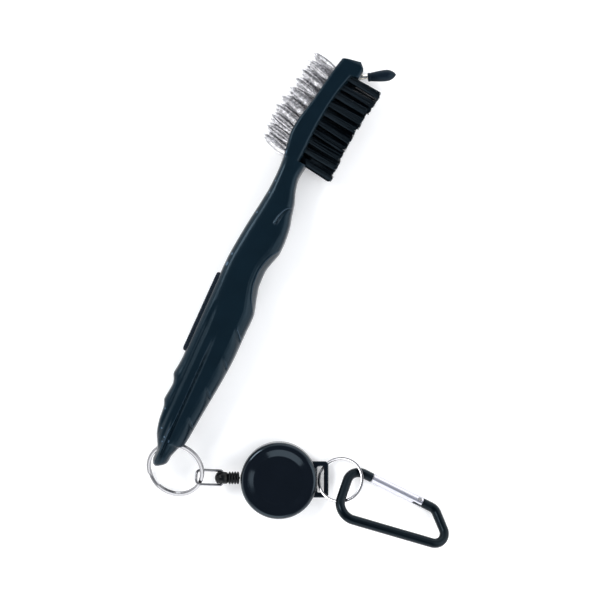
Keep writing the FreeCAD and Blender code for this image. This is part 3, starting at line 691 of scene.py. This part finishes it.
def build_split_ring(name, node, body, joint, radius, strand, thick, jog_at):
    """Two flat turns joined by a short jog, with the wire's two ends cut square."""
    total = 4 * math.pi - RING_JOG
    steps = 260
    place = axis_frame(joint_point(joint), joint_axis(joint), Vector((1, 0, 0)))
    points, sides = [], []
    for step in range(steps + 1):
        angle = total * step / steps
        climb = min(1.0, max(0.0, (angle - (2 * math.pi - RING_JOG)) / RING_JOG))
        level = (climb * climb * (3 - 2 * climb) - 0.5) * (thick + RING_TURN_GAP)
        turned = angle + jog_at
        radial = Vector((math.cos(turned), math.sin(turned), 0))
        points.append(place @ (radial * radius + Vector((0, 0, level))))
        sides.append(place.to_3x3() @ radial)
    section = rounded_section(strand, thick, min(strand, thick) * 0.46, 4)
    vertices, faces = sweep(points, section, lambda index: sides[index], False)
    add_piece(name, vertices, faces, "nickel", body, [node], sharp=50)


def build_rings():
    for name, node, body, joint, radius, strand, thick, jog_at in RINGS:
        build_split_ring(name, node, body, joint, radius * MM, strand * MM, thick * MM,
                         math.radians(jog_at))


# ------------------------------------------------------------------ reel and cord

CORD_AXIS = joint_axis("cord_pull")
REEL_CENTRE = joint_point("spool_turn")
STRAP = axis_frame(Vector((REEL_CENTRE.x, REEL_CENTRE.y, 0)), Vector((0, 0, 1)), CORD_AXIS)
BALL = joint_point("end_stop_swing")


def build_reel_cover():
    """Glossy cover, hollow over the spool, with a rolled rim and a bevelled recess."""
    low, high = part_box("reel_front_cover")
    radius = (high[0] - low[0]) / 2
    top, split = high[2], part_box("reel_back_cover")[1][2]
    recess, face = 9.8 * MM, high[2] - 0.9 * MM
    ceiling = (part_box("reel_spool")[1][2] + face) / 2
    profile = [(0.05 * MM, ceiling), (radius - 1.3 * MM, ceiling),
               (radius - 1.2 * MM, split - 0.1 * MM), (radius - 0.15 * MM, split + 0.02 * MM),
               (radius - 0.02 * MM, split + 0.2 * MM), (radius, split + 0.5 * MM),
               (radius, top - 2.0 * MM)]
    for step in range(1, 9):
        angle = math.pi / 2 * step / 8
        profile.append((radius - 1.9 * MM * (1 - math.cos(angle)),
                        top - 2.0 * MM + 2.0 * MM * math.sin(angle)))
    profile += [(recess + 3.1 * MM, top - 0.03 * MM), (recess + 2.7 * MM, top - 0.12 * MM),
                (recess + 1.6 * MM, top - 0.45 * MM), (recess + 0.5 * MM, face + 0.16 * MM),
                (recess + 0.1 * MM, face + 0.04 * MM), (recess - 0.25 * MM, face),
                (recess - 0.5 * MM, face + 0.06 * MM), (recess - 0.8 * MM, face + 0.1 * MM),
                (recess * 0.5, face + 0.1 * MM)]
    vertices, faces = lathe(profile, 128, STRAP)
    add_piece("reel_cover", vertices, faces, "reel_plastic", "reel", ["reel_front_cover"],
              sharp=28)


def build_end_stop():
    """Ball with flats for the wire link, and a ribbed sleeve behind it."""
    radius, flat = 3.0 * MM, 2.25 * MM
    across = joint_axis("end_stop_swing")
    place = axis_frame(BALL, across, CORD_AXIS)
    steps = 30
    limit = math.asin(flat / radius)
    rim = radius * math.cos(limit) - 0.15 * MM
    profile = [(0.02 * MM, -flat), (0.70 * MM, -flat), (rim, -flat)]
    for step in range(steps + 1):
        angle = -limit + 2 * limit * step / steps
        seam = 0.06 * MM if step == steps // 2 else 0
        profile.append((radius * math.cos(angle) - seam, radius * math.sin(angle)))
    profile += [(rim, flat), (0.70 * MM, flat), (0.02 * MM, flat)]
    vertices, faces = lathe(profile, 72, place)
    add_piece("end_stop_ball", vertices, faces, "black_plastic", "cord_end", ["cord_end_stop"])

    low, high = (Vector(corner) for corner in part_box("strain_relief"))
    outer = (high.z - low.z) / 2
    length = 4.4 * MM
    start = BALL + CORD_AXIS * 2.45 * MM
    ribs = 4
    pitch = length / ribs
    profile = [(0.45 * MM, 0), (outer - 0.8 * MM, 0)]
    for rib in range(ribs):
        for step in range(9):
            t = step / 8
            swell = math.sin(math.pi * t) ** 0.6
            profile.append((outer - 0.62 * MM + 0.62 * MM * swell,
                            pitch * (rib + 0.08 + 0.84 * t)))
    profile += [(outer - 0.8 * MM, length), (0.45 * MM, length)]
    vertices, faces = lathe(profile, 56, axis_frame(start, CORD_AXIS))
    add_piece("ribbed_sleeve", vertices, faces, "black_plastic", "cord_end", ["strain_relief"])


def build_drawn_cord():
    """The cord between the sleeve and the reel: a short straight stub."""
    radius = 0.4 * MM
    start = BALL + CORD_AXIS * 6.0 * MM
    end = BALL + CORD_AXIS * 8.3 * MM
    rings, around = 60, 16
    vertices = []
    place = axis_frame(start, CORD_AXIS)
    length = (end - start).length
    for ring in range(rings + 1):
        for side in range(around):
            angle = 2 * math.pi * side / around
            vertices.append(place @ Vector((radius * math.cos(angle), radius * math.sin(angle),
                                            length * ring / rings)))
    piece = add_piece("drawn_cord", vertices, grid_faces(rings + 1, around), "cord", None,
                      ["cord_lead"])
    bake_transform(piece)


# ------------------------------------------------------------------ assembly

def dress_cad_nodes():
    """Gives every carried-over CAD node the material of its slot."""
    slots = {part["node"]: part["material_slot"] for part in frame["record"]["subparts"]}
    for name, node in frame["nodes"].items():
        node.data.materials.clear()
        node.data.materials.append(MATERIALS[slots[name]])


add_camera()
MATERIALS = make_materials()
add_studio()
dress_cad_nodes()
build_handle()
build_grip_pad()
build_wire_tufts()
build_nylon_tufts()
build_spike_cap()
build_rings()
build_reel_cover()
build_end_stop()
build_drawn_cord()
